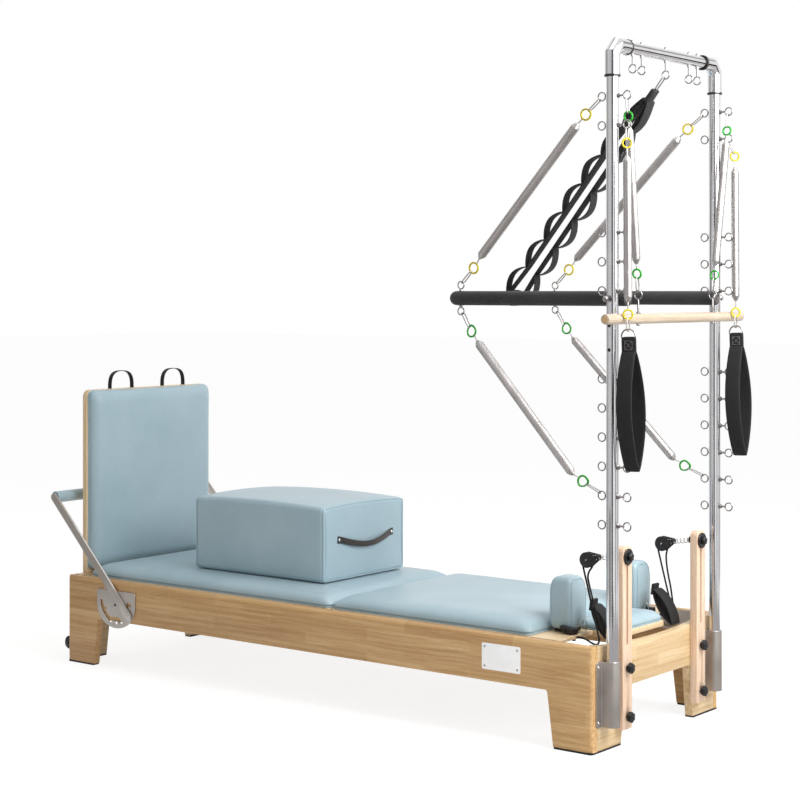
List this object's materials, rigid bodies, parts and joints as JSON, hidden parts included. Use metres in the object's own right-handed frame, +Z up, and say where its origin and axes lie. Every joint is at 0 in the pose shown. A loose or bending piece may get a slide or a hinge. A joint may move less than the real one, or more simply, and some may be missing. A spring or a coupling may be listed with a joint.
{
  "type": "pilates reformer with tower",
  "caption": "Wooden pilates reformer with sliding carriage, chrome spring tower, push-through bar, mat insert, sitting box, jump board and footbar.",
  "frame": {"origin": "on the floor, under the middle of the whole unit's box", "axes": "+X towards the tower end, +Y to the far side, +Z up; the near side is -Y"},
  "size_m": [2.5218, 0.858, 2.155],
  "materials": {
    "ash_wood": "clear satin lacquer over pale ash",
    "beech": "clear satin lacquer over pale beech",
    "plywood": "sanded and lacquered birch plywood",
    "chrome": "polished chrome plate",
    "aluminium": "satin aluminium",
    "steel": "satin zinc plate",
    "spring_steel": "close-wound spring wire, satin nickel plate",
    "blue_leather": "matt pale blue vinyl upholstery",
    "black_foam": "closed-cell foam sleeve",
    "black_webbing": "woven nylon webbing",
    "black_plastic": "moulded nylon",
    "black_rope": "braided polyester cord",
    "rubber": "solid rubber tread"
  },
  "bodies": {
    "base": {"tower_end_board": "ash_wood", "foot_end_board": "ash_wood", "spring_bar": "steel", "crossbar": "chrome", "safety_strap": "black_webbing", "near_side_board": "ash_wood", "far_side_board": "ash_wood", "near_track": "aluminium", "far_track": "aluminium", "near_upright": "chrome", "far_upright": "chrome", "near_elbow": "chrome", "far_elbow": "chrome", "near_tower_bracket": "aluminium", "far_tower_bracket": "aluminium", "near_riser_post": "beech", "far_riser_post": "beech", "near_pulley_rope": "black_rope", "far_pulley_rope": "black_rope", "near_strap_loop": "black_webbing", "far_strap_loop": "black_webbing", "near_upper_spring": "spring_steel", "far_upper_spring": "spring_steel", "near_lower_spring": "spring_steel", "far_lower_spring": "spring_steel", "near_footbar_plate": "steel", "far_footbar_plate": "steel"},
    "footbar": {"footbar_frame": "steel", "footbar_pad": "blue_leather"},
    "push_through_bar": {"push_through_tube": "steel", "push_through_foam": "black_foam"},
    "carriage": {"carriage_board": "plywood", "carriage_cushion": "blue_leather", "carriage_springs": "spring_steel"},
    "front_wheels": {"front_wheelset": "black_plastic"},
    "rear_wheels": {"rear_wheelset": "black_plastic"},
    "headrest": {"headrest_board": "plywood", "headrest_cushion": "blue_leather"},
    "mat": {"mat_board": "plywood", "mat_cushion": "blue_leather"},
    "box": {"sitting_box": "blue_leather", "box_handle_tower_end": "black_webbing", "box_handle_foot_end": "black_webbing"},
    "jump_board_unit": {"jump_board": "plywood", "jump_pad": "blue_leather"},
    "rolldown_springs": {"near_rolldown_spring": "spring_steel", "far_rolldown_spring": "spring_steel"},
    "rolldown_rod": {"rolldown_bar": "beech"},
    "near_shoulder": {"near_shoulder_rest": "blue_leather"},
    "near_hand_spring_body": {"near_hand_spring": "spring_steel"},
    "near_hand_loop_body": {"near_hand_loop": "black_webbing"},
    "near_pulley": {"near_pulley_carrier": "black_plastic"},
    "near_pulley_wheel": {"near_sheave": "black_plastic"},
    "near_wheel": {"near_transport_wheel": "rubber"},
    "far_shoulder": {"far_shoulder_rest": "blue_leather"},
    "far_hand_spring_body": {"far_hand_spring": "spring_steel"},
    "far_hand_loop_body": {"far_hand_loop": "black_webbing"},
    "far_pulley": {"far_pulley_carrier": "black_plastic"},
    "far_pulley_wheel": {"far_sheave": "black_plastic"},
    "far_wheel": {"far_transport_wheel": "rubber"}
  },
  "joints": [
    {"name": "mat_lift", "type": "slide", "parent": "base", "child": "mat", "axis": [0, 0, 1], "range_m": [0, 0.3]},
    {"name": "box_lift", "type": "slide", "parent": "mat", "child": "box", "axis": [0, 0, 1], "range_m": [0, 0.3]},
    {"name": "jump_board_lift", "type": "slide", "parent": "base", "child": "jump_board_unit", "axis": [0, 0, 1], "range_m": [0, 0.3]},
    {"name": "footbar_tilt", "type": "hinge", "parent": "base", "child": "footbar", "pos_m": [-0.90444, 0, 0.238], "axis": [0, 1, 0], "range_deg": [-43, 5]},
    {"name": "push_through_swing", "type": "hinge", "parent": "base", "child": "push_through_bar", "pos_m": [1.15356, 0, 1.364], "axis": [0, 1, 0], "range_deg": [0, 55], "deforming": ["near_upper_spring", "far_upper_spring", "near_lower_spring", "far_lower_spring", "safety_strap"]},
    {"name": "carriage_slide", "type": "slide", "parent": "base", "child": "carriage", "axis": [1, 0, 0], "range_m": [0, 0.025], "deforming": ["near_pulley_rope", "far_pulley_rope"]},
    {"name": "front_wheels_spin", "type": "hinge", "parent": "carriage", "child": "front_wheels", "pos_m": [0.16656, 0, 0.2853], "axis": [0, 1, 0], "continuous": true},
    {"name": "rear_wheels_spin", "type": "hinge", "parent": "carriage", "child": "rear_wheels", "pos_m": [0.79656, 0, 0.2853], "axis": [0, 1, 0], "continuous": true},
    {"name": "headrest_tilt", "type": "hinge", "parent": "carriage", "child": "headrest", "pos_m": [0.89856, 0, 0.316], "axis": [0, -1, 0], "range_deg": [0, 30]},
    {"name": "near_shoulder_lift", "type": "slide", "parent": "carriage", "child": "near_shoulder", "axis": [0, 0, 1], "range_m": [0, 0.06]},
    {"name": "far_shoulder_lift", "type": "slide", "parent": "carriage", "child": "far_shoulder", "axis": [0, 0, 1], "range_m": [0, 0.06]},
    {"name": "rolldown_swing", "type": "hinge", "parent": "base", "child": "rolldown_springs", "pos_m": [1.20456, 0, 1.973], "axis": [0, -1, 0], "range_deg": [0, 40]},
    {"name": "rolldown_pull", "type": "slide", "parent": "rolldown_springs", "child": "rolldown_rod", "axis": [0, 0, -1], "range_m": [0, 0.11], "stiffness_N_per_m": 200, "springref_m": -0.06, "deforming": ["near_rolldown_spring", "far_rolldown_spring"]},
    {"name": "near_hand_swing", "type": "hinge", "parent": "base", "child": "near_hand_spring_body", "pos_m": [1.20456, -0.322, 1.885], "axis": [0, -1, 0], "range_deg": [0, 60]},
    {"name": "near_hand_pull", "type": "slide", "parent": "near_hand_spring_body", "child": "near_hand_loop_body", "axis": [0, 0, -1], "range_m": [0, 0.16], "stiffness_N_per_m": 200, "springref_m": -0.05, "deforming": ["near_hand_spring"]},
    {"name": "near_pulley_height", "type": "slide", "parent": "base", "child": "near_pulley", "axis": [0, 0, 1], "range_m": [-0.195, 0], "deforming": ["near_pulley_rope"]},
    {"name": "near_pulley_spin", "type": "hinge", "parent": "near_pulley", "child": "near_pulley_wheel", "pos_m": [1.01056, -0.232, 0.556], "axis": [0, 1, 0], "continuous": true},
    {"name": "near_wheel_spin", "type": "hinge", "parent": "base", "child": "near_wheel", "pos_m": [-1.21844, -0.34, 0.057], "axis": [0, 1, 0], "continuous": true},
    {"name": "far_hand_swing", "type": "hinge", "parent": "base", "child": "far_hand_spring_body", "pos_m": [1.20456, 0.322, 1.885], "axis": [0, -1, 0], "range_deg": [0, 60]},
    {"name": "far_hand_pull", "type": "slide", "parent": "far_hand_spring_body", "child": "far_hand_loop_body", "axis": [0, 0, -1], "range_m": [0, 0.16], "stiffness_N_per_m": 200, "springref_m": -0.05, "deforming": ["far_hand_spring"]},
    {"name": "far_pulley_height", "type": "slide", "parent": "base", "child": "far_pulley", "axis": [0, 0, 1], "range_m": [-0.195, 0], "deforming": ["far_pulley_rope"]},
    {"name": "far_pulley_spin", "type": "hinge", "parent": "far_pulley", "child": "far_pulley_wheel", "pos_m": [1.01056, 0.232, 0.556], "axis": [0, 1, 0], "continuous": true},
    {"name": "far_wheel_spin", "type": "hinge", "parent": "base", "child": "far_wheel", "pos_m": [-1.21844, 0.34, 0.057], "axis": [0, 1, 0], "continuous": true}
  ],
  "couplings": [
    {"joint": "front_wheels_spin", "follows": "carriage_slide", "rad_per_m": 45.455},
    {"joint": "rear_wheels_spin", "follows": "carriage_slide", "rad_per_m": 45.455},
    {"joint": "rolldown_pull", "follows": "rolldown_swing", "m_per_rad": 0.15},
    {"joint": "near_hand_pull", "follows": "near_hand_swing", "m_per_rad": 0.15},
    {"joint": "far_hand_pull", "follows": "far_hand_swing", "m_per_rad": 0.15}
  ]
}
